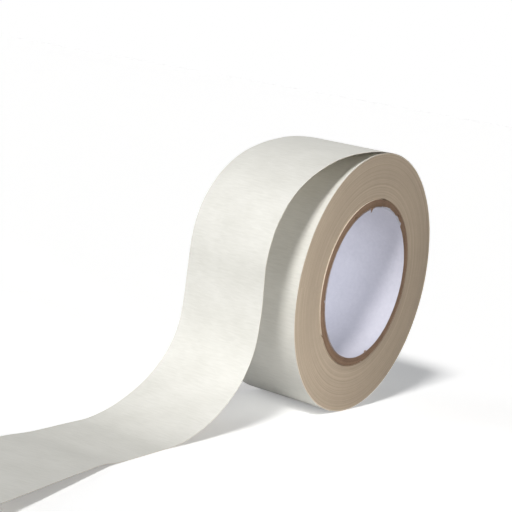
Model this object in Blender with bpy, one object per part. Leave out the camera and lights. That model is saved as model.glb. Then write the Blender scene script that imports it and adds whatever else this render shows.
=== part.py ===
"""Roll of masking tape on its rim, with a length of tape drawn off over the top and down to the floor.

Metres, +Z up. The roll's axis runs along Y. The origin is on the floor under the middle of the roll, and
the drawn-off tape leaves towards -X.
"""

import math

import bmesh
import bpy
import numpy as np

MM = 0.001

# Tape and roll
TAPE_WIDTH = 45.0 * MM
TAPE_THICKNESS = 0.16 * MM
ROLL_RADIUS = 65.5 * MM

# Core: a standard three-inch tube, wound from plies of board between two papers
BORE_RADIUS = 38.25 * MM
LINING_THICKNESS = 0.35 * MM
PLY_THICKNESS = 0.54 * MM
PLY_COUNT = 5
COVER_THICKNESS = 0.28 * MM
CORE_SETBACK = 0.3 * MM
SEAM_GAP = 0.45 * MM
SEAM_SWEEP = math.radians(130.0)
SEAM_STAGGER = math.radians(67.0)
LINING_SEAM_AT = math.radians(190.0)
BLUNT_TIP = math.radians(1.0)

# Clearances
GLUE_GAP = 0.12 * MM
TURN_END_GAP = 1.0 * MM
PEEL_CLEARANCE = 0.3 * MM
FOOT_GAP = 0.3 * MM

# Drawn-off tape: distances from the rim, and heights as shares of the roll's diameter
BELLY_REACH = 28.6 * MM
BELLY_HEIGHT_SHARE = 0.592
WAIST_INSET = 2.7 * MM
WAIST_HEIGHT_SHARE = 0.346
FOOT_REACH = 85.0 * MM
RUN_LENGTH = 140.0 * MM
RUN_FLAT_SHARE = 0.214
RUN_BEND_SHARE = 0.407
BEND_LIFT = 2.2 * MM
END_LIFT = 6.0 * MM

# Handles of the drawn-off tape's curve, as shares of the step between the two points that they lie between
PEEL_HANDLE = 0.638
BELLY_HANDLE_ABOVE = 0.625
BELLY_HANDLE_BELOW = 0.19
WAIST_HANDLE_ABOVE = 0.44
WAIST_HANDLE_BELOW = 0.655
FOOT_HANDLE = 0.34
RUN_HANDLE = 0.35

# Turn of the tape's width about the vertical at each point of that curve
BELLY_YAW = math.radians(-6.0)
WAIST_YAW = math.radians(-3.8)
FOOT_YAW = math.radians(5.0)
END_YAW = math.radians(14.0)

# Facets
RING_STEPS = 72
TURN_STEPS = 95
LEAST_FACET = 0.2
POINTS_PER_STEP = 12
CURVE_STEPS = 80
FALL_STEPS = 48
RUN_STEPS = 24
SHARP_EDGE = math.radians(30.0)
SELF_GAP_SKIP = 20.0 * MM

# The bottom facet of the outermost turn stands on the floor. Halfway round, the turn is half a layer down.
FOOT_RADIUS = ROLL_RADIUS - 0.5 * TAPE_THICKNESS
AXIS_HEIGHT = FOOT_RADIUS * math.cos(math.pi / TURN_STEPS)
PACK_RADIUS = ROLL_RADIUS - 2.0 * TAPE_THICKNESS - GLUE_GAP
LINING_OUTSIDE = BORE_RADIUS + LINING_THICKNESS
PLY_PITCH = PLY_THICKNESS + GLUE_GAP
COVER_INSIDE = LINING_OUTSIDE + PLY_COUNT * PLY_PITCH + GLUE_GAP
COVER_OUTSIDE = COVER_INSIDE + COVER_THICKNESS
PEEL_HEIGHT = AXIS_HEIGHT + ROLL_RADIUS + PEEL_CLEARANCE + 0.5 * TAPE_THICKNESS
FLOOR_HEIGHT = 0.5 * TAPE_THICKNESS
FOOT_X = -(ROLL_RADIUS + FOOT_REACH)

# Colours as seen, in sRGB, and how rough each surface is
LINING_WHITE, LINING_ROUGHNESS = (226, 226, 234), 0.75
BOARD_BROWN, BOARD_ROUGHNESS = (140, 117, 98), 0.85
COVER_CREAM, COVER_ROUGHNESS = (222, 210, 196), 0.8
PACK_TAN, PACK_ROUGHNESS = (190, 172, 152), 0.7
TAPE_CREAM, TAPE_ROUGHNESS = (246, 244, 232), 0.6


def linear(colour):
    """An sRGB colour of 0 to 255 as linear values with alpha."""
    shares = [channel / 255.0 for channel in colour]
    return [s / 12.92 if s <= 0.04045 else ((s + 0.055) / 1.055) ** 2.4 for s in shares] + [1.0]


def material(name, colour, roughness):
    made = bpy.data.materials.new(name)
    made.use_nodes = True
    surface = made.node_tree.nodes["Principled BSDF"]
    surface.inputs["Base Color"].default_value = linear(colour)
    surface.inputs["Roughness"].default_value = roughness
    surface.inputs["Metallic"].default_value = 0.0
    return made


def add_object(name, shape, surface, origin):
    """A smooth-shaded object from a bmesh, with its sharp edges kept."""
    bmesh.ops.recalc_face_normals(shape, faces=shape.faces)
    mesh = bpy.data.meshes.new(name)
    shape.to_mesh(mesh)
    shape.free()
    mesh.shade_smooth()
    mesh.set_sharp_from_angle(angle=SHARP_EDGE)
    mesh.materials.append(surface)
    made = bpy.data.objects.new(name, mesh)
    made.location = origin
    bpy.context.scene.collection.objects.link(made)
    return made


def ring(name, inside, outside, width, surface):
    """A tube about the roll's axis, turned so that one facet faces straight down."""
    half_step = math.pi / RING_STEPS
    profile = [(inside, -0.5), (outside, -0.5), (outside, 0.5), (inside, 0.5)]
    shape = bmesh.new()
    across, up = math.cos(half_step), math.sin(half_step)
    corners = [shape.verts.new((r * across, end * width, r * up)) for r, end in profile]
    edges = [shape.edges.new((corners[i], corners[i - 1])) for i in range(len(corners))]
    bmesh.ops.spin(
        shape,
        geom=corners + edges,
        cent=(0.0, 0.0, 0.0),
        axis=(0.0, 1.0, 0.0),
        angle=2.0 * math.pi,
        steps=RING_STEPS,
        use_merge=True,
    )
    return add_object(name, shape, surface, (0.0, 0.0, AXIS_HEIGHT))


def swept(name, sections, surface, origin):
    """A closed solid through a row of four-cornered sections."""
    shape = bmesh.new()
    loops = [[shape.verts.new(corner) for corner in section] for section in sections]
    for first, second in zip(loops, loops[1:]):
        for i in range(len(first)):
            shape.faces.new((first[i - 1], first[i], second[i], second[i - 1]))
    shape.faces.new(loops[0])
    shape.faces.new(reversed(loops[-1]))
    return add_object(name, shape, surface, origin)


def closer_points(points):
    """The same broken line with more points along each of its straight steps."""
    points = np.array(points)
    at = np.linspace(0.0, len(points) - 1.0, (len(points) - 1) * POINTS_PER_STEP + 1)
    return np.stack([np.interp(at, np.arange(len(points)), points[:, i]) for i in range(3)], axis=1)


def wound_ply(name, inside, outside, seam_at, surface):
    """A ribbon wound round the axis in a helix until its edges meet at a butt seam, and their gap."""
    width = TAPE_WIDTH - 2.0 * CORE_SETBACK
    pitch = math.atan2(width, inside * SEAM_SWEEP)
    seam = SEAM_GAP / (inside * math.sin(pitch))
    turn = 2.0 * math.pi
    corners = [seam + BLUNT_TIP, SEAM_SWEEP + seam, turn, turn + SEAM_SWEEP - BLUNT_TIP]
    facet = turn / RING_STEPS
    offset = (0.5 * facet - seam_at) % facet
    facets = np.arange(corners[0] + (offset - corners[0]) % facet, corners[-1], facet)
    clear = [line for line in facets if min(abs(line - corner) for corner in corners) > LEAST_FACET * facet]
    sections, first_edge, last_edge = [], [], []
    for line in sorted(corners + clear):
        out = np.array([math.sin(seam_at + line), 0.0, math.cos(seam_at + line)])
        low = width * (max(0.0, (line - turn) / SEAM_SWEEP) - 0.5)
        high = width * (min(1.0, (line - seam) / SEAM_SWEEP) - 0.5)
        low_end, high_end = np.array([0.0, low, 0.0]), np.array([0.0, high, 0.0])
        inner, outer = out * inside, out * outside
        sections.append([inner + low_end, outer + low_end, outer + high_end, inner + high_end])
        if line <= corners[1]:
            first_edge.append(inner + high_end)
        if line >= turn:
            last_edge.append(inner + low_end)
    swept(name, sections, surface, (0.0, 0.0, AXIS_HEIGHT))
    gaps = np.linalg.norm(closer_points(first_edge)[:, None] - closer_points(last_edge)[None], axis=2)
    return gaps.min()


def build_core():
    """The lining, the board plies and the cover, with their seams staggered. It returns the least seam."""
    white = material("lining_paper", LINING_WHITE, LINING_ROUGHNESS)
    cream = material("cover_paper", COVER_CREAM, COVER_ROUGHNESS)
    layers = [("core_lining", BORE_RADIUS, LINING_OUTSIDE, white)]
    for i in range(PLY_COUNT):
        inside = LINING_OUTSIDE + GLUE_GAP + i * PLY_PITCH
        brown = material(f"kraft_board_{i + 1}", BOARD_BROWN, BOARD_ROUGHNESS)
        layers.append((f"core_ply_{i + 1}", inside, inside + PLY_THICKNESS, brown))
    layers.append(("core_cover", COVER_INSIDE, COVER_OUTSIDE, cream))
    gaps = []
    for i, (name, inside, outside, surface) in enumerate(layers):
        gaps.append(wound_ply(name, inside, outside, LINING_SEAM_AT + i * SEAM_STAGGER, surface))
    return min(gaps)


def build_outer_turn():
    """One turn of tape over the wound pack, one layer lower at its end than at the peel line."""
    gap_angle = TURN_END_GAP / ROLL_RADIUS
    half_width = 0.5 * TAPE_WIDTH
    sections, middles = [], []
    for share in np.linspace(0.0, 1.0, TURN_STEPS + 1):
        turn = 0.5 * gap_angle + share * (2.0 * math.pi - gap_angle)
        out = np.array([math.sin(turn), 0.0, math.cos(turn)])
        outer = ROLL_RADIUS - share * TAPE_THICKNESS
        inner = outer - TAPE_THICKNESS
        sections.append(
            [
                out * inner + (0.0, -half_width, 0.0),
                out * outer + (0.0, -half_width, 0.0),
                out * outer + (0.0, half_width, 0.0),
                out * inner + (0.0, half_width, 0.0),
            ]
        )
        middles.append(out * 0.5 * (inner + outer))
    backing = material("tape_backing_turn", TAPE_CREAM, TAPE_ROUGHNESS)
    swept("outer_turn", sections, backing, (0.0, 0.0, AXIS_HEIGHT))
    return np.array(middles)


def bezier(start, start_handle, end_handle, end):
    t = np.linspace(0.0, 1.0, CURVE_STEPS + 1)[:, None]
    s = 1.0 - t
    points = [np.array(p) for p in (start, start_handle, end_handle, end)]
    return s**3 * points[0] + 3 * s**2 * t * points[1] + 3 * s * t**2 * points[2] + t**3 * points[3]


def between(a, b, share):
    return a + share * (b - a)


def tail_route():
    """The drawn-off tape's middle line: its points, with yaw and length at each, and the foot's length."""
    diameter = 2.0 * ROLL_RADIUS
    belly_x, belly_z = -(ROLL_RADIUS + BELLY_REACH), BELLY_HEIGHT_SHARE * diameter
    waist_x, waist_z = belly_x + WAIST_INSET, WAIST_HEIGHT_SHARE * diameter
    flat_x = FOOT_X - RUN_FLAT_SHARE * RUN_LENGTH
    bend_x, bend_z = FOOT_X - RUN_BEND_SHARE * RUN_LENGTH, FLOOR_HEIGHT + BEND_LIFT
    end_x, end_z = FOOT_X - RUN_LENGTH, FLOOR_HEIGHT + END_LIFT
    rise = (end_z - bend_z) / (end_x - bend_x)
    pieces = [
        bezier(
            (0.0, PEEL_HEIGHT),
            (PEEL_HANDLE * belly_x, PEEL_HEIGHT),
            (belly_x, between(belly_z, PEEL_HEIGHT, BELLY_HANDLE_ABOVE)),
            (belly_x, belly_z),
        ),
        bezier(
            (belly_x, belly_z),
            (belly_x, between(belly_z, waist_z, BELLY_HANDLE_BELOW)),
            (waist_x, between(waist_z, belly_z, WAIST_HANDLE_ABOVE)),
            (waist_x, waist_z),
        ),
        bezier(
            (waist_x, waist_z),
            (waist_x, between(waist_z, FLOOR_HEIGHT, WAIST_HANDLE_BELOW)),
            (between(FOOT_X, waist_x, FOOT_HANDLE), FLOOR_HEIGHT),
            (FOOT_X, FLOOR_HEIGHT),
        ),
        bezier(
            (FOOT_X, FLOOR_HEIGHT),
            (between(FOOT_X, flat_x, RUN_HANDLE), FLOOR_HEIGHT),
            (between(flat_x, FOOT_X, RUN_HANDLE), FLOOR_HEIGHT),
            (flat_x, FLOOR_HEIGHT),
        ),
        bezier(
            (flat_x, FLOOR_HEIGHT),
            (between(flat_x, bend_x, RUN_HANDLE), FLOOR_HEIGHT),
            (between(bend_x, flat_x, RUN_HANDLE), bend_z + rise * RUN_HANDLE * (flat_x - bend_x)),
            (bend_x, bend_z),
        ),
        bezier(
            (bend_x, bend_z),
            (between(bend_x, end_x, RUN_HANDLE), between(bend_z, end_z, RUN_HANDLE)),
            (between(end_x, bend_x, RUN_HANDLE), between(end_z, bend_z, RUN_HANDLE)),
            (end_x, end_z),
        ),
    ]
    yaws = [0.0, BELLY_YAW, WAIST_YAW, FOOT_YAW, FOOT_YAW, END_YAW, END_YAW]
    points, yaw = [pieces[0][:1]], [np.zeros(1)]
    for i, piece in enumerate(pieces):
        share = np.linspace(0.0, 1.0, CURVE_STEPS + 1)[1:]
        ease = share * share * (3.0 - 2.0 * share)
        points.append(piece[1:])
        yaw.append(between(yaws[i], yaws[i + 1], ease))
    points, yaw = np.concatenate(points), np.concatenate(yaw)
    past_foot = np.diff(np.minimum(points[:, 0] - FOOT_X, 0.0))
    heading = 0.5 * (yaw[1:] + yaw[:-1])
    ahead = np.concatenate([[0.0], np.cumsum(past_foot * np.cos(heading))])
    sideways = np.concatenate([[0.0], np.cumsum(past_foot * np.sin(heading))])
    middle = np.stack([np.maximum(points[:, 0], FOOT_X) + ahead, sideways, points[:, 1]], axis=1)
    steps = np.linalg.norm(np.diff(middle, axis=0), axis=1)
    length = np.concatenate([[0.0], np.cumsum(steps)])
    return middle, yaw, length, length[3 * CURVE_STEPS]


def tail_sections(route, start, end, steps):
    """Sections of the tape between two lengths along its route, and their middles."""
    points, yaw, length, _ = route
    at = np.linspace(start, end, steps + 1)
    middle = np.stack([np.interp(at, length, points[:, i]) for i in range(3)], axis=1)
    turn = np.interp(at, length, yaw)
    along = np.gradient(middle, at, axis=0)
    across = np.stack([-np.sin(turn), np.cos(turn), np.zeros_like(turn)], axis=1)
    up = np.cross(across, along)
    up /= np.linalg.norm(up, axis=1)[:, None]
    side = 0.5 * TAPE_WIDTH * across
    lift = 0.5 * TAPE_THICKNESS * up
    near, far = middle - side, middle + side
    return np.stack([near - lift, near + lift, far + lift, far - lift], axis=1), middle


def build_tail():
    """The falling length, and the length on the floor with its origin on the line where it lands."""
    route = tail_route()
    foot, end = route[3], route[2][-1]
    fall, fall_middle = tail_sections(route, 0.0, foot - 0.5 * FOOT_GAP, FALL_STEPS)
    run, run_middle = tail_sections(route, foot + 0.5 * FOOT_GAP, end, RUN_STEPS)
    foot_point = np.array([FOOT_X, 0.0, FLOOR_HEIGHT])
    fall_surface = material("tape_backing_fall", TAPE_CREAM, TAPE_ROUGHNESS)
    run_surface = material("tape_backing_run", TAPE_CREAM, TAPE_ROUGHNESS)
    swept("tail_fall", fall, fall_surface, (0.0, 0.0, 0.0))
    swept("tail_run", run - foot_point, run_surface, foot_point)
    return np.concatenate([fall_middle, run_middle])


def least_gap(middles):
    """The least gap of a strip to itself, left out where two points are neighbours along it."""
    steps = np.linalg.norm(np.diff(middles, axis=0), axis=1)
    length = np.concatenate([[0.0], np.cumsum(steps)])
    apart = np.linalg.norm(middles[:, None] - middles[None], axis=2)
    far_along = np.abs(length[:, None] - length[None]) > SELF_GAP_SKIP
    return apart[far_along].min() - TAPE_THICKNESS


def build():
    for old in list(bpy.data.objects):
        bpy.data.objects.remove(old)
    least_seam = build_core()
    wound_tape = material("wound_tape", PACK_TAN, PACK_ROUGHNESS)
    ring("wound_pack", COVER_OUTSIDE + GLUE_GAP, PACK_RADIUS, TAPE_WIDTH, wound_tape)
    turn_middles = build_outer_turn()
    tail_middles = build_tail()
    print(f"core plies: least gap to themselves {least_seam / MM:.2f} mm")
    print(f"outer_turn: least gap to itself {least_gap(turn_middles) / MM:.2f} mm")
    print(f"tail: least gap to itself {least_gap(tail_middles) / MM:.2f} mm")


build()
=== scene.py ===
"""Looks for a roll of masking tape that stands on its rim, with a length drawn off over the top to the floor.

Metres, +Z up, in the frame of the solids: the roll's axis runs along Y, and the drawn-off tape leaves to -X.
"""

import math

import bpy
import numpy as np
from mathutils import Matrix, Vector


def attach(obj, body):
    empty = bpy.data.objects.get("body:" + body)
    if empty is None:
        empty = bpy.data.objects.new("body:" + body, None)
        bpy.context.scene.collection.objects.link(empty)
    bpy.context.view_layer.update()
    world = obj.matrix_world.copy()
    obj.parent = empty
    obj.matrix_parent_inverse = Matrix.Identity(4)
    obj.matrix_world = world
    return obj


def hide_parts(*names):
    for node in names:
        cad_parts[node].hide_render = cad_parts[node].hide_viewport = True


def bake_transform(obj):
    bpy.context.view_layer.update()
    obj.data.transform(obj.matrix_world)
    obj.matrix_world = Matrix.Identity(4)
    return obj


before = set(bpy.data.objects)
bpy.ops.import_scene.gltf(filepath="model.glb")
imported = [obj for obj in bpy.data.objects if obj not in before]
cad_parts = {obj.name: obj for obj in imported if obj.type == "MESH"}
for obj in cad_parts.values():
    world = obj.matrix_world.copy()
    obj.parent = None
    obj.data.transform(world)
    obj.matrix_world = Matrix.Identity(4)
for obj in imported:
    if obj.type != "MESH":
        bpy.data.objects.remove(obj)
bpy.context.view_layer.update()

MM = 0.001
TURN = 2.0 * math.pi

# Roll, as in the solids
TAPE_WIDTH = 45.0 * MM
TAPE_THICKNESS = 0.16 * MM
ROLL_RADIUS = 65.5 * MM
AXIS_HEIGHT = 65.384 * MM
BORE_RADIUS = 38.25 * MM
LINING_THICKNESS = 0.35 * MM
PLY_THICKNESS = 0.54 * MM
PLY_COUNT = 5
COVER_THICKNESS = 0.28 * MM
GLUE_GAP = 0.12 * MM
CORE_WIDTH = 44.4 * MM
SEAM_GAP = 0.45 * MM
SEAM_SWEEP = math.radians(130.0)
SEAM_STAGGER = math.radians(67.0)
LINING_SEAM_AT = math.radians(190.0)
BLUNT_TIP = math.radians(1.0)

# Drawn-off tape's middle line, as in the solids
BELLY_REACH = 28.6 * MM
BELLY_HEIGHT_SHARE = 0.592
WAIST_INSET = 2.7 * MM
WAIST_HEIGHT_SHARE = 0.346
FOOT_REACH = 85.0 * MM
RUN_LENGTH = 140.0 * MM
RUN_FLAT_SHARE = 0.214
RUN_BEND_SHARE = 0.407
BEND_LIFT = 2.2 * MM
END_LIFT = 6.0 * MM
PEEL_CLEARANCE = 0.3 * MM
PEEL_HANDLE = 0.638
BELLY_HANDLE_ABOVE = 0.625
BELLY_HANDLE_BELOW = 0.19
WAIST_HANDLE_ABOVE = 0.44
WAIST_HANDLE_BELOW = 0.655
FOOT_HANDLE = 0.34
RUN_HANDLE = 0.35
KNOT_YAWS = [math.radians(angle) for angle in (0.0, -6.0, -3.8, 5.0, 5.0, 14.0, 14.0)]
FOOT_KNOT = 3
CURVE_STEPS = 120
FOOT_X = -(ROLL_RADIUS + FOOT_REACH)
FLOOR_HEIGHT = 0.5 * TAPE_THICKNESS
PEEL_HEIGHT = AXIS_HEIGHT + ROLL_RADIUS + PEEL_CLEARANCE + 0.5 * TAPE_THICKNESS

# Camera: fitted to the outlines of the rim, the bore and the drawn-off tape in a frame of 512 by 512
FRAME_PIXELS = 512.0
FOCAL_PIXELS = 1414.1
SENSOR_WIDTH = 36.0
CAMERA_PLACE = Vector((-617.07, -343.17, 159.67)) * MM
CAMERA_AZIMUTH = math.radians(-57.899)
CAMERA_ELEVATION = math.radians(7.4275)
CAMERA_ROLL = math.radians(9.953)
CAMERA_NEAREST = 10.0 * MM

# Angle from which an edge between two faces is shaded sharp
SHARP_FROM = math.radians(40.0)


def srgb(red, green, blue):
    """A colour of 0 to 255 as linear values with alpha."""
    shares = [channel / 255.0 for channel in (red, green, blue)]
    return tuple(s / 12.92 if s <= 0.04045 else ((s + 0.055) / 1.055) ** 2.4 for s in shares) + (1.0,)


def between(a, b, share):
    return a + share * (b - a)


def smooth(share):
    share = np.clip(share, 0.0, 1.0)
    return share * share * (3.0 - 2.0 * share)


def wander(seed, count, period):
    """A smooth random row of values from -1 to 1 with one free value every period steps."""
    knots = max(4, int(round(count / period)))
    values = np.random.default_rng(seed).uniform(-1.0, 1.0, knots)
    at = np.arange(count) * (knots - 1.0) / count
    low = np.floor(at).astype(int)
    return between(values[low % knots], values[(low + 1) % knots], smooth(at - low))


def uneven(level, count, *waves):
    """A row of values about a level, with one wander for the seed, period and share of each wave."""
    return level + sum(share * wander(seed, count, period) for seed, period, share in waves)


def put_in_scene(name, data):
    made = bpy.data.objects.new(name, data)
    bpy.context.scene.collection.objects.link(made)
    return made


def mesh_object(name, points, faces, materials, face_material=None, sharp=SHARP_FROM):
    mesh = bpy.data.meshes.new(name)
    mesh.from_pydata([tuple(p) for p in points], [], faces)
    for finish in materials:
        mesh.materials.append(finish)
    if face_material is not None:
        mesh.polygons.foreach_set("material_index", face_material)
    mesh.update()
    mesh.shade_smooth()
    mesh.set_sharp_from_angle(angle=sharp)
    return put_in_scene(name, mesh)


def grid_faces(rows, columns, start=0):
    """Quads of a grid of points stored row by row."""
    corners = [start + i * columns + j for i in range(rows - 1) for j in range(columns - 1)]
    return [(c, c + 1, c + columns + 1, c + columns) for c in corners]


def sheet_solid(outer, inner):
    """Points and faces of a closed sheet between two grids, with 0 for outer, 1 for inner and 2 for edge faces."""
    rows, columns = outer.shape[:2]
    count = rows * columns
    points = np.concatenate([outer.reshape(-1, 3), inner.reshape(-1, 3)])
    top = grid_faces(rows, columns)
    under = [tuple(reversed(f)) for f in grid_faces(rows, columns, count)]
    rim = [i * columns for i in range(rows)]
    rim += [(rows - 1) * columns + j for j in range(1, columns)]
    rim += [i * columns + columns - 1 for i in range(rows - 2, -1, -1)]
    rim += [j for j in range(columns - 2, 0, -1)]
    edge = [(rim[i - 1], rim[i], rim[i] + count, rim[i - 1] + count) for i in range(len(rim))]
    kinds = [0] * len(top) + [1] * len(under) + [2] * len(edge)
    return points, top + under + edge, kinds


# Materials

PAPER_IOR = 1.45
PAPER_GLOSS = 0.25
TONE_LOW, TONE_HIGH = 0.35, 0.65

# Shares of the fine and the cloudy part of each effect, and the size of the cloudy part
FIBRE_FINE, FIBRE_CLOUDY = 0.55, 0.45
FIBRE_CLOUD_SCALE = 0.13
CREPE_FINE, CREPE_CLOUDY = 0.5, 0.5
CREPE_CLOUDS_PER_METRE = 60.0
CREPE_STRETCH = (1.0, 0.16, 1.0)

# Shares of single turns and of bands of turns in the wound faces, and how often the bands change round the roll
TURN_TONE, BAND_TONE = 0.3, 0.7
TURN_RELIEF, BAND_RELIEF = 0.5, 1.0
BAND_DRIFT = 5.0


def new_group(name, inputs):
    """An empty shader node group with float inputs, a tone and a height, and the sockets at its two ends."""
    group = bpy.data.node_groups.new(name, "ShaderNodeTree")
    for key, value in inputs.items():
        made = group.interface.new_socket(key, in_out="INPUT", socket_type="NodeSocketFloat")
        made.default_value = value
    for key in ("Tone", "Height"):
        group.interface.new_socket(key, in_out="OUTPUT", socket_type="NodeSocketFloat")
    return group, group.nodes.new("NodeGroupInput").outputs, group.nodes.new("NodeGroupOutput").inputs


def add(tree, kind, inputs=None, **settings):
    """A node with its settings and inputs: a value is set, and an output socket is linked."""
    node = tree.nodes.new(kind)
    for key, value in settings.items():
        setattr(node, key, value)
    for key, value in (inputs or {}).items():
        if isinstance(value, bpy.types.NodeSocket):
            tree.links.new(value, node.inputs[key])
        else:
            node.inputs[key].default_value = value
    return node


def math_node(tree, operation, a, b=0.0):
    return add(tree, "ShaderNodeMath", {0: a, 1: b}, operation=operation).outputs[0]


def sum_of_shares(tree, *parts):
    """The sum of values, each times its share."""
    total = None
    for value, share in parts:
        part = math_node(tree, "MULTIPLY", value, share)
        total = part if total is None else math_node(tree, "ADD", total, part)
    return total


def noise(tree, place, scale, **more):
    return add(tree, "ShaderNodeTexNoise", {"Vector": place, "Scale": scale, **more}).outputs[0]


def paper_fibre_group():
    """Fibre of paper or board: a soft tone and a height, at the given size of fibre."""
    group, given, result = new_group("paper_fibre", {"Fibres per metre": 900.0})
    place = add(group, "ShaderNodeTexCoord").outputs["Object"]
    fine = noise(group, place, given["Fibres per metre"], Detail=3.0, Roughness=0.6)
    cloud_scale = math_node(group, "MULTIPLY", given["Fibres per metre"], FIBRE_CLOUD_SCALE)
    cloudy = noise(group, place, cloud_scale, Detail=2.0)
    tone = sum_of_shares(group, (fine, FIBRE_FINE), (cloudy, FIBRE_CLOUDY))
    group.links.new(tone, result["Tone"])
    group.links.new(fine, result["Height"])
    return group


def turns_group():
    """Edges of wound turns about the roll's axis: a tone that changes from turn to turn, and a height."""
    group, given, result = new_group("wound_turns", {"Turn": 0.157 * MM, "Band": 1.0 * MM})
    place = add(group, "ShaderNodeTexCoord").outputs["Object"]
    split = add(group, "ShaderNodeSeparateXYZ", {0: place}).outputs
    rise = math_node(group, "SUBTRACT", split["Z"], AXIS_HEIGHT)
    flat = add(group, "ShaderNodeCombineXYZ", {"X": split["X"], "Y": rise}).outputs[0]
    radius = add(group, "ShaderNodeVectorMath", {0: flat}, operation="LENGTH").outputs["Value"]
    angle = math_node(group, "DIVIDE", math_node(group, "ARCTAN2", rise, split["X"]), TURN)
    turn = math_node(group, "SUBTRACT", math_node(group, "DIVIDE", radius, given["Turn"]), angle)
    band = math_node(group, "SUBTRACT", math_node(group, "DIVIDE", radius, given["Band"]), angle)
    number = math_node(group, "FLOOR", turn)
    each = add(group, "ShaderNodeTexWhiteNoise", {"W": number}, noise_dimensions="1D").outputs["Value"]
    slow = math_node(group, "MULTIPLY", angle, BAND_DRIFT)
    drift = add(group, "ShaderNodeCombineXYZ", {"X": band, "Y": slow}).outputs[0]
    bands = noise(group, drift, 1.0, Detail=2.0)
    wave = math_node(group, "SINE", math_node(group, "MULTIPLY", turn, TURN))
    group.links.new(sum_of_shares(group, (each, TURN_TONE), (bands, BAND_TONE)), result["Tone"])
    group.links.new(sum_of_shares(group, (wave, TURN_RELIEF), (bands, BAND_RELIEF)), result["Height"])
    return group


def crepe_group():
    """Fine ridges of creped paper across the tape, from the length along it held in the uv layer."""
    group, given, result = new_group("crepe_ridges", {"Ridges per metre": 1100.0})
    along = add(group, "ShaderNodeUVMap", uv_map="along").outputs[0]
    stretch = add(group, "ShaderNodeVectorMath", {0: along, 1: CREPE_STRETCH}, operation="MULTIPLY").outputs[0]
    ridges = noise(group, stretch, given["Ridges per metre"], Detail=3.0, Distortion=0.6)
    cloudy = noise(group, along, CREPE_CLOUDS_PER_METRE, Detail=2.0)
    tone = sum_of_shares(group, (ridges, CREPE_FINE), (cloudy, CREPE_CLOUDY))
    group.links.new(tone, result["Tone"])
    group.links.new(ridges, result["Height"])
    return group


def surface(name, effects, dark, light, roughness, bump, depth):
    """A paper material: its tone runs from dark to light with the effects, which add their heights too."""
    made = bpy.data.materials.new(name)
    made.use_nodes = True
    tree = made.node_tree
    shader = tree.nodes["Principled BSDF"].inputs
    shader["IOR"].default_value = PAPER_IOR
    shader["Specular IOR Level"].default_value = PAPER_GLOSS
    nodes = []
    for group, values, share in effects:
        nodes.append((add(tree, "ShaderNodeGroup", values, node_tree=group).outputs, share))
    tone = sum_of_shares(tree, *[(node["Tone"], share) for node, share in nodes])
    height = sum_of_shares(tree, *[(node["Height"], share) for node, share in nodes])
    span = {"Value": tone, "From Min": TONE_LOW, "From Max": TONE_HIGH}
    pale = add(tree, "ShaderNodeMapRange", span).outputs[0]
    rough = add(tree, "ShaderNodeMapRange", {**span, "To Min": roughness[0], "To Max": roughness[1]}).outputs[0]
    # In a mix of colours, sockets 0, 6 and 7 are its factor and its two colours, and output 2 is its colour
    colour = add(tree, "ShaderNodeMix", {0: pale, 6: dark, 7: light}, data_type="RGBA").outputs[2]
    relief = add(tree, "ShaderNodeBump", {"Height": height, "Strength": bump, "Distance": depth}).outputs[0]
    tree.links.new(colour, shader["Base Color"])
    tree.links.new(rough, shader["Roughness"])
    tree.links.new(relief, shader["Normal"])
    return made


fibre = paper_fibre_group()
turns = turns_group()
crepe = crepe_group()

backing = surface(
    "crepe_backing",
    [(crepe, {}, 1.0)],
    dark=srgb(216, 215, 208),
    light=srgb(227, 226, 220),
    roughness=(0.55, 0.68),
    bump=0.45,
    depth=0.06 * MM,
)
adhesive = surface(
    "adhesive_side",
    [(crepe, {"Ridges per metre": 700.0}, 1.0)],
    dark=srgb(214, 206, 188),
    light=srgb(224, 217, 201),
    roughness=(0.32, 0.42),
    bump=0.15,
    depth=0.04 * MM,
)
tape_edge = surface(
    "tape_edge",
    [(fibre, {"Fibres per metre": 2500.0}, 1.0)],
    dark=srgb(214, 200, 182),
    light=srgb(228, 217, 202),
    roughness=(0.6, 0.7),
    bump=0.2,
    depth=0.02 * MM,
)
wound_face = surface(
    "wound_face",
    [(turns, {"Band": 0.5 * MM}, 0.75), (fibre, {"Fibres per metre": 1400.0}, 0.25)],
    dark=srgb(176, 159, 139),
    light=srgb(197, 180, 158),
    roughness=(0.62, 0.75),
    bump=0.3,
    depth=0.04 * MM,
)
raw_board = surface(
    "raw_board",
    [(fibre, {"Fibres per metre": 1500.0}, 0.6), (turns, {"Turn": 0.27 * MM, "Band": 0.66 * MM}, 0.4)],
    dark=srgb(123, 99, 80),
    light=srgb(152, 125, 104),
    roughness=(0.8, 0.92),
    bump=0.5,
    depth=0.08 * MM,
)
# Painted shade: the lining is white paper, but it is given a darker, bluish grey that stands in for the shade and
# the blue fill light inside the bore
lining_painted_shade = surface(
    "lining_painted_shade",
    [(fibre, {"Fibres per metre": 600.0}, 1.0)],
    dark=srgb(177, 176, 186),
    light=srgb(186, 185, 194),
    roughness=(0.6, 0.72),
    bump=0.15,
    depth=0.05 * MM,
)
cream_cover = surface(
    "cream_cover",
    [(fibre, {"Fibres per metre": 1200.0}, 1.0)],
    dark=srgb(200, 185, 168),
    light=srgb(213, 200, 184),
    roughness=(0.7, 0.8),
    bump=0.2,
    depth=0.03 * MM,
)

# Strips of tape

EDGE_WANDER = 0.06 * MM


def strip_reach(side, count, seeds, period):
    """How far each point of a strip lies from its middle line, with edges that wander inwards."""
    near, far = [0.5 * TAPE_WIDTH - EDGE_WANDER * uneven(1.0, count, (seed, period, 1.0)) for seed in seeds]
    return np.where(side[None] < 0.0, near[:, None], far[:, None]) * side[None]


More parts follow.
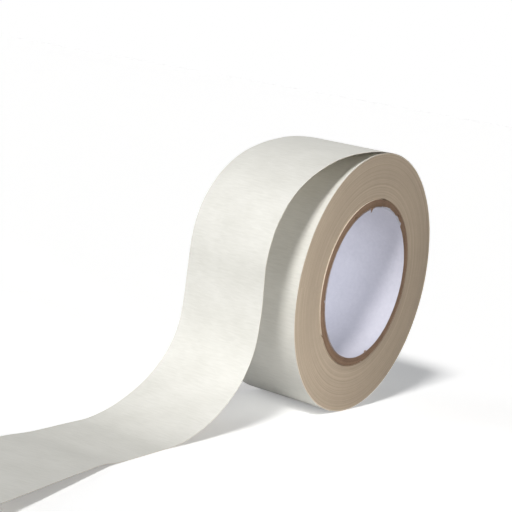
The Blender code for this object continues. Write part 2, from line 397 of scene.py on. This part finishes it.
def tape_strip(name, outer, inner, along, reach):
    """A closed strip of tape, with the length along it and the place across it in its uv layer."""
    points, faces, kinds = sheet_solid(outer, inner)
    strip = mesh_object(name, points, faces, [backing, adhesive, tape_edge], kinds)
    flat = np.stack([np.repeat(along, reach.shape[1]), reach.reshape(-1)], axis=1)
    flat = np.concatenate([flat, flat])
    corners = np.zeros(len(strip.data.loops), dtype=np.int32)
    strip.data.loops.foreach_get("vertex_index", corners)
    layer = strip.data.uv_layers.new(name="along")
    layer.data.foreach_set("uv", flat[corners].astype(np.float32).reshape(-1))
    return strip


# Drawn-off tape

TAIL_STEP = 0.6 * MM
TAIL_COLUMNS = 21
TAIL_CUP = 0.35 * MM
CUP_LEVEL = 0.33
TAIL_RIPPLE = 0.10 * MM
FREE_PAST_ROLL = 40.0 * MM
FREE_BEFORE_FOOT = 50.0 * MM
START_SETTLE = 0.32 * MM
SETTLE_LENGTH = 25.0 * MM
FEATHER_LENGTH = 10.0 * MM
FEATHER_SHARE = 0.2
TEAR_DEPTH = 1.6 * MM
TEAR_LENGTH = 12.0 * MM


def bezier(start, start_handle, end_handle, end):
    t = np.linspace(0.0, 1.0, CURVE_STEPS + 1)[:, None]
    s = 1.0 - t
    points = [np.array(p) for p in (start, start_handle, end_handle, end)]
    return s**3 * points[0] + 3 * s**2 * t * points[1] + 3 * s * t**2 * points[2] + t**3 * points[3]


def tail_route():
    """The drawn-off tape's middle line: its points, with yaw and length at each."""
    diameter = 2.0 * ROLL_RADIUS
    belly_x, belly_z = -(ROLL_RADIUS + BELLY_REACH), BELLY_HEIGHT_SHARE * diameter
    waist_x, waist_z = belly_x + WAIST_INSET, WAIST_HEIGHT_SHARE * diameter
    flat_x = FOOT_X - RUN_FLAT_SHARE * RUN_LENGTH
    bend_x, bend_z = FOOT_X - RUN_BEND_SHARE * RUN_LENGTH, FLOOR_HEIGHT + BEND_LIFT
    end_x, end_z = FOOT_X - RUN_LENGTH, FLOOR_HEIGHT + END_LIFT
    rise = (end_z - bend_z) / (end_x - bend_x)
    knots = [(0.0, PEEL_HEIGHT), (belly_x, belly_z), (waist_x, waist_z), (FOOT_X, FLOOR_HEIGHT)]
    knots += [(flat_x, FLOOR_HEIGHT), (bend_x, bend_z), (end_x, end_z)]
    handles = [
        (
            (PEEL_HANDLE * belly_x, PEEL_HEIGHT),
            (belly_x, between(belly_z, PEEL_HEIGHT, BELLY_HANDLE_ABOVE)),
        ),
        (
            (belly_x, between(belly_z, waist_z, BELLY_HANDLE_BELOW)),
            (waist_x, between(waist_z, belly_z, WAIST_HANDLE_ABOVE)),
        ),
        (
            (waist_x, between(waist_z, FLOOR_HEIGHT, WAIST_HANDLE_BELOW)),
            (between(FOOT_X, waist_x, FOOT_HANDLE), FLOOR_HEIGHT),
        ),
        (
            (between(FOOT_X, flat_x, RUN_HANDLE), FLOOR_HEIGHT),
            (between(flat_x, FOOT_X, RUN_HANDLE), FLOOR_HEIGHT),
        ),
        (
            (between(flat_x, bend_x, RUN_HANDLE), FLOOR_HEIGHT),
            (between(bend_x, flat_x, RUN_HANDLE), bend_z + rise * RUN_HANDLE * (flat_x - bend_x)),
        ),
        (
            (between(bend_x, end_x, RUN_HANDLE), between(bend_z, end_z, RUN_HANDLE)),
            (between(end_x, bend_x, RUN_HANDLE), between(end_z, bend_z, RUN_HANDLE)),
        ),
    ]
    points, yaw = [np.array([knots[0]])], [np.zeros(1)]
    share = np.linspace(0.0, 1.0, CURVE_STEPS + 1)[1:]
    for i, (first, second) in enumerate(handles):
        points.append(bezier(knots[i], first, second, knots[i + 1])[1:])
        yaw.append(between(KNOT_YAWS[i], KNOT_YAWS[i + 1], smooth(share)))
    points, yaw = np.concatenate(points), np.concatenate(yaw)
    past_foot = np.diff(np.minimum(points[:, 0] - FOOT_X, 0.0))
    heading = 0.5 * (yaw[1:] + yaw[:-1])
    ahead = np.concatenate([[0.0], np.cumsum(past_foot * np.cos(heading))])
    sideways = np.concatenate([[0.0], np.cumsum(past_foot * np.sin(heading))])
    middle = np.stack([np.maximum(points[:, 0], FOOT_X) + ahead, sideways, points[:, 1]], axis=1)
    length = np.concatenate([[0.0], np.cumsum(np.linalg.norm(np.diff(middle, axis=0), axis=1))])
    return middle, yaw, length


def build_tail():
    """The drawn-off tape: feathered and settled on the roll, slightly cupped where it hangs, torn at its end."""
    route, yaw, length = tail_route()
    count = int(length[-1] / TAIL_STEP) + 1
    at = np.linspace(0.0, length[-1], count)
    middle = np.stack([np.interp(at, length, route[:, i]) for i in range(3)], axis=1)
    middle[:, 2] -= START_SETTLE * (1.0 - smooth(at / SETTLE_LENGTH))
    turn = np.interp(at, length, yaw)
    along = np.gradient(middle, at, axis=0)
    across = np.stack([-np.sin(turn), np.cos(turn), np.zeros_like(turn)], axis=1)
    up = np.cross(across, along)
    up /= np.linalg.norm(up, axis=1)[:, None]
    side = np.linspace(-1.0, 1.0, TAIL_COLUMNS)
    reach = strip_reach(side, count, seeds=(11, 12), period=14.0)
    foot_length = length[FOOT_KNOT * CURVE_STEPS]
    free = smooth(at / FREE_PAST_ROLL) * smooth((foot_length - at) / FREE_BEFORE_FOOT)
    cup = -TAIL_CUP * free[:, None] * (side[None] ** 2 - CUP_LEVEL)
    ripple = TAIL_RIPPLE * free[:, None] * np.outer(wander(13, count, 20.0), side) * np.abs(side)[None]
    lift = cup + ripple
    torn = TEAR_DEPTH * uneven(0.5, TAIL_COLUMNS, (14, 1.0, 0.3), (15, 4.0, 0.2))
    back = smooth((at - length[-1] + TEAR_LENGTH) / TEAR_LENGTH)[:, None] * torn[None]
    centre = middle[:, None] + reach[:, :, None] * across[:, None] + lift[:, :, None] * up[:, None]
    centre -= back[:, :, None] * along[:, None]
    half = 0.5 * TAPE_THICKNESS * up
    feather = TAPE_THICKNESS * (1.0 - FEATHER_SHARE) * (1.0 - smooth(at / FEATHER_LENGTH))[:, None] * up
    tail = tape_strip("tape_tail", centre + (half - feather)[:, None], centre - half[:, None], at, reach)
    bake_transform(tail)
    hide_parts("tail_fall", "tail_run")


# Roll

OUTER_STEPS = 360
OUTER_COLUMNS = 9
OUTER_END_GAP = 1.0 * MM
OUTER_TRIM = 0.04 * MM


def around(angle, radius, y=0.0):
    """Points at angles clockwise from the top of the roll, seen from -Y."""
    x, z = radius * np.sin(angle), AXIS_HEIGHT + radius * np.cos(angle)
    points = np.stack([x, np.zeros_like(x), z], axis=-1)
    points[..., 1] = y
    return points


def build_outer_turn():
    """The outermost turn, whose end lies under the start of the drawn-off tape."""
    count = OUTER_STEPS + 1
    angle = np.linspace(TURN - OUTER_END_GAP / ROLL_RADIUS, 0.0, count)
    radius = ROLL_RADIUS - OUTER_TRIM - TAPE_THICKNESS * np.linspace(1.0, 0.0, count)
    reach = strip_reach(np.linspace(-1.0, 1.0, OUTER_COLUMNS), count, seeds=(21, 22), period=9.0)[::-1]
    angles = np.repeat(angle[:, None], OUTER_COLUMNS, axis=1)
    outer = around(angles, radius[:, None], reach)
    inner = around(angles, radius[:, None] - TAPE_THICKNESS, reach)
    turn = tape_strip("tape_turn", outer, inner, angle * ROLL_RADIUS, reach)
    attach(turn, "roll")
    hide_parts("outer_turn")


PACK_INSIDE = 42.42 * MM
PACK_OUTSIDE = 65.25 * MM
PACK_TURNS = 145
PACK_STEPS = 144
PACK_DISH = 0.75 * MM
DISH_SHARE = 0.8
PACK_RIM_INSET = 0.12 * MM
PACK_SHARP_FROM = math.radians(75.0)
TURN_NOTCH = 0.035 * MM
TURN_OFFSET = 0.02 * MM
BAND_OFFSET = 0.025 * MM
TURNS_PER_BAND = 3.0
PALE_TURNS = 3


def pack_side(seed, facing):
    """One wound side as two spiral rows of points: the edge of each turn, and the notch before the next."""
    count = PACK_TURNS * PACK_STEPS + 1
    turn = np.arange(count) / PACK_STEPS
    pitch = (PACK_OUTSIDE - PACK_INSIDE) / (PACK_TURNS + 0.5)
    each = TURN_OFFSET * np.random.default_rng(seed).uniform(-1.0, 1.0, PACK_TURNS + 2)
    band = BAND_OFFSET * wander(seed + 1, PACK_TURNS + 2, TURNS_PER_BAND)
    offset = np.interp(turn, np.arange(PACK_TURNS + 2), each + band)
    dish = PACK_DISH * (1.0 - smooth(turn / (DISH_SHARE * PACK_TURNS)))
    depth = 0.5 * TAPE_WIDTH - PACK_RIM_INSET - dish - np.abs(offset)
    angle = -TURN * turn
    edge = around(angle, PACK_INSIDE + pitch * turn, facing * depth)
    notch = around(angle, PACK_INSIDE + pitch * (turn + 0.5), facing * (depth - TURN_NOTCH))
    return edge, notch


def build_wound_tape():
    """The wound body as one spiral: stepped near and far sides, and a wall inside and outside."""
    rows = pack_side(31, -1.0) + pack_side(41, 1.0)
    points = np.concatenate(rows)
    n, s = len(rows[0]), PACK_STEPS
    # First points of the near edge, near notch, far edge and far notch
    ne, nn, fe, fn = 0, n, 2 * n, 3 * n
    pale_from = (PACK_TURNS - PALE_TURNS) * s
    faces, kinds = [], []
    for i in range(n - 1):
        faces.append((ne + i, nn + i, nn + i + 1, ne + i + 1))
        faces.append((fe + i, fe + i + 1, fn + i + 1, fn + i))
        kinds += [int(i >= pale_from)] * 2
    for i in range(n - 1 - s):
        faces.append((nn + i, ne + i + s, ne + i + s + 1, nn + i + 1))
        faces.append((fn + i, fn + i + 1, fe + i + s + 1, fe + i + s))
        kinds += [int(i >= pale_from)] * 2
    for i in range(s):
        j = n - 1 - s + i
        faces.append((ne + i, ne + i + 1, fe + i + 1, fe + i))
        faces.append((nn + j, fn + j, fn + j + 1, nn + j + 1))
        kinds += [0, 1]
    last = n - 1
    faces.append((ne, fe, fn, fe + s, ne + s, nn))
    faces.append((ne + last, nn + last, fn + last, fe + last, fn + last - s, nn + last - s))
    kinds += [0, 1]
    pack = mesh_object("wound_tape", points, faces, [wound_face, tape_edge], kinds, sharp=PACK_SHARP_FROM)
    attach(pack, "roll")
    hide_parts("wound_pack")


# Core

CORE_FACETS = 360
CORE_COLUMNS = np.array([0.0, 0.004, 0.012, 0.03, 0.1, 0.3, 0.5, 0.7, 0.9, 0.97, 0.988, 0.996, 1.0])
CORE_END = 0.5 * CORE_WIDTH
LEAST_RIBBON = 0.02 * MM
LINING_FRAY = 0.1 * MM
LINING_CURL = 0.25 * MM
BOARD_FRAY = 0.1 * MM
COVER_FRAY = 0.05 * MM
CURL_DEPTH = 1.2 * MM


def wound_layer(name, node, inside, outside, seam_at, finishes, fray, seed, curl=0.0, extras=()):
    """One paper or board ribbon of the core, wound in a helix to a butt seam, with its cut ends frayed.

    The finishes are for its outer, inner and edge faces. Its ends curl inwards, and extras are more closed shells.
    """
    pitch = math.atan2(CORE_WIDTH, inside * SEAM_SWEEP)
    seam = SEAM_GAP / (inside * math.sin(pitch))
    first, last = seam + BLUNT_TIP, TURN + SEAM_SWEEP - BLUNT_TIP
    count = int((last - first) / TURN * CORE_FACETS) + 1
    line = np.sort(np.concatenate([np.linspace(first, last, count), [SEAM_SWEEP + seam, TURN]]))
    count = len(line)
    low = np.maximum(0.0, (line - TURN) / SEAM_SWEEP)
    high = np.minimum(1.0, (line - seam) / SEAM_SWEEP)
    low_y, high_y = CORE_WIDTH * (low - 0.5), CORE_WIDTH * (high - 0.5)
    frays = [0.5 * fray * uneven(1.0, count, (seed + i, 3.0, 0.5), (seed + i + 2, 17.0, 0.5)) for i in (0, 1)]
    low_y = np.where(low <= 0.0, np.minimum(low_y + frays[0], high_y - LEAST_RIBBON), low_y)
    high_y = np.where(high >= 1.0, np.maximum(high_y - frays[1], low_y + LEAST_RIBBON), high_y)
    y = low_y[:, None] + CORE_COLUMNS[None] * (high_y - low_y)[:, None]
    from_end = np.minimum(y + CORE_END, CORE_END - y)
    waves = 0.5 * uneven(1.0, count, (seed + 4, 5.0, 0.6), (seed + 5, 13.0, 0.4))
    inward = curl * waves[:, None] * (1.0 - smooth(from_end / CURL_DEPTH))
    angle = np.repeat((seam_at + line)[:, None], len(CORE_COLUMNS), axis=1)
    outer, inner = around(angle, outside - inward, y), around(angle, inside - inward, y)
    points, faces, kinds = sheet_solid(outer[::-1], inner[::-1])
    for more_points, more_faces, more_kinds in extras:
        faces += [tuple(len(points) + corner for corner in face) for face in more_faces]
        kinds += more_kinds
        points = np.concatenate([points, more_points])
    layer = mesh_object(name, points, faces, finishes, kinds)
    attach(layer, "roll")
    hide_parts(node)


def thin_shell(face, thickness):
    """A closed shell behind a grid of points that faces the near side."""
    under = face.copy()
    under[:, :, 1] += thickness
    return sheet_solid(face, under)


FLAKE_ROWS, FLAKE_COLUMNS = 7, 5
FLAKE_RAGGED = 0.15
FLAKE_TIP_WIDTH = 0.02
FLAKE_THINNING = 0.6


def flake(angle, half_width, base, tip, depth, thickness, lean, seed):
    """A torn tongue of board on the core's near end, in degrees round it and metres outwards from the bore."""
    share = np.linspace(0.0, 1.0, FLAKE_ROWS)[:, None]
    side = np.linspace(-1.0, 1.0, FLAKE_COLUMNS)[None]
    ragged = FLAKE_RAGGED * np.random.default_rng(seed).uniform(-1.0, 1.0, (FLAKE_ROWS, FLAKE_COLUMNS))
    width = side * (1.0 + FLAKE_TIP_WIDTH - share) + ragged * (1.0 - share)
    at = math.radians(angle) + math.radians(half_width) * width
    face = around(at, BORE_RADIUS + between(base, tip, share), depth - CORE_END + lean * share**2)
    return thin_shell(face, thickness * (1.0 - FLAKE_THINNING * share))


TURNED_ROWS, TURNED_COLUMNS = 90, 4
TURNED_FROM, TURNED_TO = math.radians(-9.0), math.radians(41.0)
TURNED_WIDTH = 1.2 * MM
TURNED_LEAST = 0.15
TURNED_TAPERS = math.radians(3.0), math.radians(1.2)
TURNED_INSET = 0.26 * MM
TURNED_PROUD = 0.10 * MM
TURNED_THICKNESS = 0.08 * MM


def turned_edge(seed):
    """A torn strip of lining paper that lies over the near end of the board."""
    angle = np.linspace(TURNED_FROM, TURNED_TO, TURNED_ROWS)
    rough = uneven(0.75, TURNED_ROWS, (seed, 3.0, 0.25), (seed + 1, 11.0, 0.25))
    tapers = smooth((angle - TURNED_FROM) / TURNED_TAPERS[0]) * smooth((TURNED_TO - angle) / TURNED_TAPERS[1])
    width = TURNED_WIDTH * rough * between(TURNED_LEAST, 1.0, tapers)
    share = np.linspace(0.0, 1.0, TURNED_COLUMNS)[None]
    radius = BORE_RADIUS - TURNED_INSET + width[:, None] * share
    face = around(angle[:, None] + 0.0 * share, radius, -CORE_END - TURNED_PROUD)
    return thin_shell(face, TURNED_THICKNESS)


def build_core():
    """The lining, the plies of board and the cover, with the tears that the near end shows."""
    flap = flake(
        angle=-11.4,
        half_width=1.9,
        base=0.6 * MM,
        tip=-2.4 * MM,
        depth=0.15 * MM,
        thickness=0.3 * MM,
        lean=0.6 * MM,
        seed=56,
    )
    burr = flake(
        angle=160.1,
        half_width=3.2,
        base=0.4 * MM,
        tip=-0.7 * MM,
        depth=0.1 * MM,
        thickness=0.5 * MM,
        lean=0.3 * MM,
        seed=57,
    )
    nick = flake(
        angle=-107.3,
        half_width=1.2,
        base=0.4 * MM,
        tip=-0.5 * MM,
        depth=0.1 * MM,
        thickness=0.3 * MM,
        lean=0.2 * MM,
        seed=58,
    )
    torn_points, torn_faces, torn_kinds = turned_edge(seed=59)
    outside = BORE_RADIUS + LINING_THICKNESS
    wound_layer(
        "bore_lining",
        "core_lining",
        BORE_RADIUS,
        outside,
        LINING_SEAM_AT,
        [lining_painted_shade, lining_painted_shade, raw_board],
        fray=LINING_FRAY,
        seed=51,
        curl=LINING_CURL,
        extras=[(torn_points, torn_faces, [0] * len(torn_kinds))],
    )
    for i in range(PLY_COUNT):
        inside = outside + GLUE_GAP
        outside = inside + PLY_THICKNESS
        wound_layer(
            f"board_ply_{i + 1}",
            f"core_ply_{i + 1}",
            inside,
            outside,
            LINING_SEAM_AT + (i + 1) * SEAM_STAGGER,
            [raw_board] * 3,
            fray=BOARD_FRAY,
            seed=61 + 8 * i,
            extras=[flap, burr, nick] if i == 0 else [],
        )
    inside = outside + GLUE_GAP
    wound_layer(
        "board_cover",
        "core_cover",
        inside,
        inside + COVER_THICKNESS,
        LINING_SEAM_AT + (PLY_COUNT + 1) * SEAM_STAGGER,
        [cream_cover, cream_cover, raw_board],
        fray=COVER_FRAY,
        seed=111,
    )


build_outer_turn()
build_tail()
build_wound_tape()
build_core()

# Floor, light and camera

WHITE = (1.0, 1.0, 1.0, 1.0)
FLOOR_SIZE = 30.0
FLOOR_COLOUR = srgb(252, 252, 252)
FLOOR_ROUGHNESS = 0.9
FLOOR_GLOW = 0.305
SKY_STRENGTH = 0.10
SKY_COLOUR = (0.92, 0.95, 1.0)

# Lamps far off: the way that each comes from, strength, spread and colour
SUNS = {
    "key_light": ((-0.728, -0.148, 0.669), 2.72, math.radians(10.0), (1.0, 0.99, 0.975)),
    "window_light": ((-0.600, 0.700, 0.400), 0.35, math.radians(30.0), (0.90, 0.95, 1.0)),
}

# A soft spot on the left of the wound face
SPOT_PLACE = Vector((-0.25, -0.60, 0.12))
SPOT_AIM = Vector((-0.07, -0.0225, 0.053))
SPOT_POWER = 7.3
SPOT_CONE = math.radians(22.0)
SPOT_RADIUS = 0.06

# A small soft light at the far mouth of the bore
BORE_LIGHT_PLACE = Vector((0.0, 0.026, 0.065))
BORE_LIGHT_AIM = Vector((0.025, -0.014, 0.050))
BORE_LIGHT_POWER = 0.0175
BORE_LIGHT_SIZE = 0.02


def seen_directly(tree):
    """1 for what the camera sees, straight or in gloss and glass, and 0 for light that falls on the object."""
    rays = add(tree, "ShaderNodeLightPath").outputs
    mirrored = math_node(tree, "MAXIMUM", rays["Is Glossy Ray"], rays["Is Transmission Ray"])
    return math_node(tree, "MAXIMUM", rays["Is Camera Ray"], mirrored)


def build_floor():
    half = 0.5 * FLOOR_SIZE
    corners = [(-half, -half, 0.0), (half, -half, 0.0), (half, half, 0.0), (-half, half, 0.0)]
    paper = bpy.data.materials.new("floor_white")
    paper.use_nodes = True
    tree = paper.node_tree
    shader = tree.nodes["Principled BSDF"].inputs
    shader["Base Color"].default_value = FLOOR_COLOUR
    shader["Roughness"].default_value = FLOOR_ROUGHNESS
    shader["Specular IOR Level"].default_value = 0.0
    shader["Emission Color"].default_value = WHITE
    glow = math_node(tree, "MULTIPLY", seen_directly(tree), FLOOR_GLOW)
    tree.links.new(glow, shader["Emission Strength"])
    floor = mesh_object("floor", corners, [(0, 1, 2, 3)], [paper])


def add_lamp(name, kind, place, toward, **settings):
    """A lamp that the camera doesn't see, with its back turned to the given way."""
    lamp = bpy.data.lights.new(name, kind)
    for key, value in settings.items():
        setattr(lamp, key, value)
    made = put_in_scene(name, lamp)
    made.location = place
    made.rotation_euler = Vector(toward).to_track_quat("Z", "Y").to_euler()
    made.visible_camera = False


def build_light():
    for name, (toward, strength, spread, colour) in SUNS.items():
        add_lamp(name, "SUN", (0.0, 0.0, 1.0), toward, energy=strength, angle=spread, color=colour)
    add_lamp(
        "face_spot",
        "SPOT",
        SPOT_PLACE,
        SPOT_PLACE - SPOT_AIM,
        energy=SPOT_POWER,
        spot_size=SPOT_CONE,
        spot_blend=1.0,
        shadow_soft_size=SPOT_RADIUS,
    )
    add_lamp(
        "bore_light",
        "AREA",
        BORE_LIGHT_PLACE,
        BORE_LIGHT_PLACE - BORE_LIGHT_AIM,
        energy=BORE_LIGHT_POWER,
        size=BORE_LIGHT_SIZE,
        color=SKY_COLOUR,
    )
    world = bpy.data.worlds.new("studio")
    bpy.context.scene.world = world
    world.use_nodes = True
    tree = world.node_tree
    sky = tree.nodes["Background"]
    sky.inputs["Color"].default_value = SKY_COLOUR + (1.0,)
    sky.inputs["Strength"].default_value = SKY_STRENGTH
    white = add(tree, "ShaderNodeBackground", {"Color": WHITE, "Strength": 1.0})
    mixed = add(tree, "ShaderNodeMixShader", {0: seen_directly(tree), 1: sky.outputs[0], 2: white.outputs[0]})
    tree.links.new(mixed.outputs[0], tree.nodes["World Output"].inputs["Surface"])


def build_camera():
    a, e, r = CAMERA_AZIMUTH, CAMERA_ELEVATION, CAMERA_ROLL
    right = Vector((math.cos(a), math.sin(a), 0.0))
    back = Vector((math.sin(a) * math.cos(e), -math.cos(a) * math.cos(e), math.sin(e)))
    up = back.cross(right)
    x = math.cos(r) * right + math.sin(r) * up
    y = -math.sin(r) * right + math.cos(r) * up
    lens = bpy.data.cameras.new("camera")
    lens.sensor_width = SENSOR_WIDTH
    lens.lens = FOCAL_PIXELS / FRAME_PIXELS * SENSOR_WIDTH
    lens.clip_start = CAMERA_NEAREST
    camera = put_in_scene("camera", lens)
    camera.matrix_world = Matrix((x, y, back)).transposed().to_4x4()
    camera.location = CAMERA_PLACE
    bpy.context.scene.camera = camera


build_floor()
build_light()
build_camera()
bpy.context.scene.view_settings.view_transform = "Standard"
